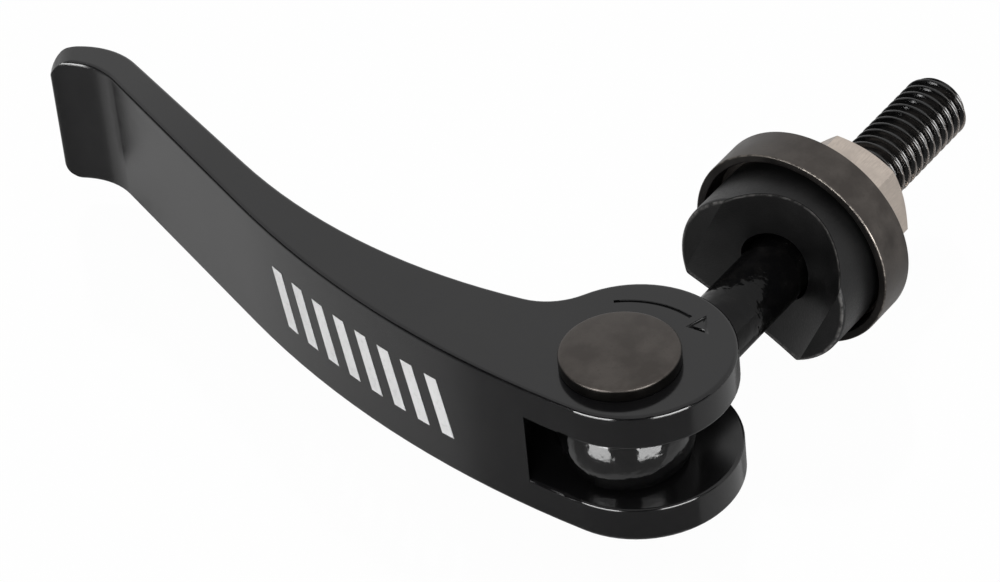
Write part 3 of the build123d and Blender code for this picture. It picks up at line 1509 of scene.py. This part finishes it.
@dataclass(frozen=True)
class DarkCard:
    """An upright dark screen, bent round the object, which gives the gloss something dark to mirror."""

    name: str
    azimuth: float
    sweep: float
    distance: float
    top: float
    shade: float = 0.01
    panels: int = 16

    def place(self, aim: Vector, level: float) -> None:
        """Stands the screen on the floor, unseen by the camera itself.

        Args:
            aim: point that it faces.
            level: height of the floor.
        """
        corners, faces = [], []
        for panel in range(self.panels + 1):
            turn = math.radians(self.azimuth + self.sweep * (panel / self.panels - 0.5))
            foot = Vector((aim.x, aim.y, level)) + Vector((math.cos(turn), math.sin(turn), 0)) * self.distance
            corners += [foot, foot + Vector((0, 0, self.top))]
            if panel:
                last = 2 * panel
                faces.append((last - 2, last, last + 1, last - 1))
        mesh = bpy.data.meshes.new(self.name)
        mesh.from_pydata(corners, [], faces)
        sheet = ShaderSheet(self.name)
        sheet.set(Base_Color=(self.shade, self.shade, self.shade, 1.0), Specular_IOR_Level=0.0)
        mesh.materials.append(sheet.material)
        card = new_piece(self.name, mesh)
        card.visible_camera = False
        card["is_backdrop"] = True


@dataclass(frozen=True)
class Viewpoint:
    """The camera: where it looks and from how far in metres, its angles in degrees and its lens in mm."""

    aim: tuple[float, float, float] = (-0.026079, 0.018636, 0.0)
    distance: float = 0.43689
    heading: float = 38.8114
    dip: float = 38.9602
    roll: float = -6.0811
    lens: float = 188.5715
    sensor: float = 36.0
    nearest: float = 0.01

    def place(self) -> None:
        """Puts the camera into the scene."""
        camera = bpy.data.cameras.new("camera")
        camera.lens = self.lens
        camera.sensor_width = self.sensor
        camera.clip_start = self.nearest
        turn = Matrix.Rotation(math.radians(self.heading - 90), 4, "Z")
        tilt = Matrix.Rotation(math.radians(90 - self.dip), 4, "X")
        lean = Matrix.Rotation(math.radians(self.roll), 4, "Z")
        back = Matrix.Translation((0, 0, self.distance))
        holder = bpy.data.objects.new("camera", camera)
        holder.matrix_world = Matrix.Translation(self.aim) @ turn @ tilt @ lean @ back
        bpy.context.scene.collection.objects.link(holder)
        bpy.context.scene.camera = holder


@dataclass
class Studio:
    """Camera, floor, world, screens and lamps, in metres and degrees."""

    viewpoint: Viewpoint = Viewpoint()
    floor_gap: float = 0.00005
    floor_reach: float = 4.0
    paper: Colour = (0.52, 0.52, 0.52)
    sheen: float = 0.5
    sheen_roughness: float = 0.12
    glow: float = 0.98
    mirrored_glow: float = 0.1
    white: Colour = (1.0, 1.0, 1.0)
    ambient: float = 0.4
    cards: tuple[DarkCard, ...] = (
        DarkCard("tall_card", azimuth=-157.0, sweep=148.0, distance=1.1, top=1.3),
        DarkCard("low_card", azimuth=-167.0, sweep=196.0, distance=1.2, top=0.42),
    )
    lamps: tuple[SoftBox, ...] = (
        SoftBox("overhead", 30.0, 86.0, 0.9, 0.7, 0.7, 2.8, Reach.MATT),
        SoftBox("fill", -160.0, 30.0, 0.8, 0.5, 0.5, 3.4, Reach.MATT),
        SoftBox("left_window", -184.0, 9.5, 0.6, 0.37, 0.22, 24.0, Reach.MIRRORED),
        SoftBox("right_window", -111.5, 9.5, 0.6, 0.36, 0.22, 24.0, Reach.MIRRORED),
    )

    @staticmethod
    def shown(sheet: NodeSheet, direct: float, mirrored: float) -> Socket:
        """How much of the plain white a ray sees in place of the lit surface.

        Args:
            sheet: tree that asks.
            direct: the share for rays from the camera.
            mirrored: the share for rays that the object mirrors or lets through.

        Returns:
            The socket with the share.
        """
        path = sheet.add("ShaderNodeLightPath").outputs
        seen = sheet.math("MULTIPLY", path["Is Camera Ray"], direct)
        for ray in ("Is Glossy Ray", "Is Transmission Ray"):
            seen = sheet.math("MAXIMUM", seen, sheet.math("MULTIPLY", path[ray], mirrored))
        return seen

    def floor(self, level: float) -> None:
        """Lays the pale floor.

        Args:
            level: its height.
        """
        mesh = bpy.data.meshes.new("floor")
        signs = ((-1, -1), (1, -1), (1, 1), (-1, 1))
        corners = [(x * self.floor_reach, y * self.floor_reach, level) for x, y in signs]
        mesh.from_pydata(corners, [], [(0, 1, 2, 3)])
        material = bpy.data.materials.new("floor_paper")
        material.use_nodes = True
        sheet = NodeSheet(material.node_tree)
        sheet.tree.nodes.remove(sheet.tree.nodes["Principled BSDF"])
        paper = sheet.add("ShaderNodeBsdfDiffuse", Color=(*self.paper, 1.0))
        polish = sheet.add("ShaderNodeBsdfGlossy", Roughness=self.sheen_roughness)
        table = sheet.mixed(self.sheen, paper, polish)
        seen = self.shown(sheet, self.glow, self.mirrored_glow)
        mix = sheet.mixed(seen, table, sheet.add("ShaderNodeEmission"))
        sheet.fill(sheet.tree.nodes["Material Output"], Surface=mix.outputs[0])
        mesh.materials.append(material)
        new_piece("floor", mesh)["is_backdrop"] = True

    def world(self) -> None:
        """Surrounds the scene with a plain soft light that looks white."""
        world = bpy.data.worlds.new("studio")
        world.use_nodes = True
        sheet = NodeSheet(world.node_tree)
        ambient = sheet.tree.nodes["Background"]
        sheet.fill(ambient, Color=(*self.white, 1.0), Strength=self.ambient)
        white = sheet.add("ShaderNodeBackground", Color=(*self.white, 1.0), Strength=1.0)
        mix = sheet.mixed(self.shown(sheet, 1.0, 1.0), ambient, white)
        sheet.fill(sheet.tree.nodes["World Output"], Surface=mix.outputs[0])
        bpy.context.scene.world = world

    def build(self, lowest_point: float, aim: Vector) -> None:
        """Builds the whole studio.

        Args:
            lowest_point: height of the object's lowest point.
            aim: its middle.
        """
        level = lowest_point - self.floor_gap
        self.viewpoint.place()
        self.floor(level)
        self.world()
        for card in self.cards:
            card.place(aim, level)
        for lamp in self.lamps:
            lamp.place(aim)
        bpy.context.scene.view_settings.view_transform = "Standard"


def main() -> None:
    """Builds every sub-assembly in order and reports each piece."""
    logging.basicConfig(level=logging.INFO, format="%(message)s")
    low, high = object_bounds()
    for assembly in (HandLever(), PivotPin(), Stud(), SaddleWasher(), CupWasher(), HexNut()):
        for piece in assembly.build():
            LOG.info("%s: %s, %d faces", type(assembly).__name__, piece.name, len(piece.data.polygons))
    Studio().build(low.z, (low + high) / 2)


if __name__ == "__main__":
    main()
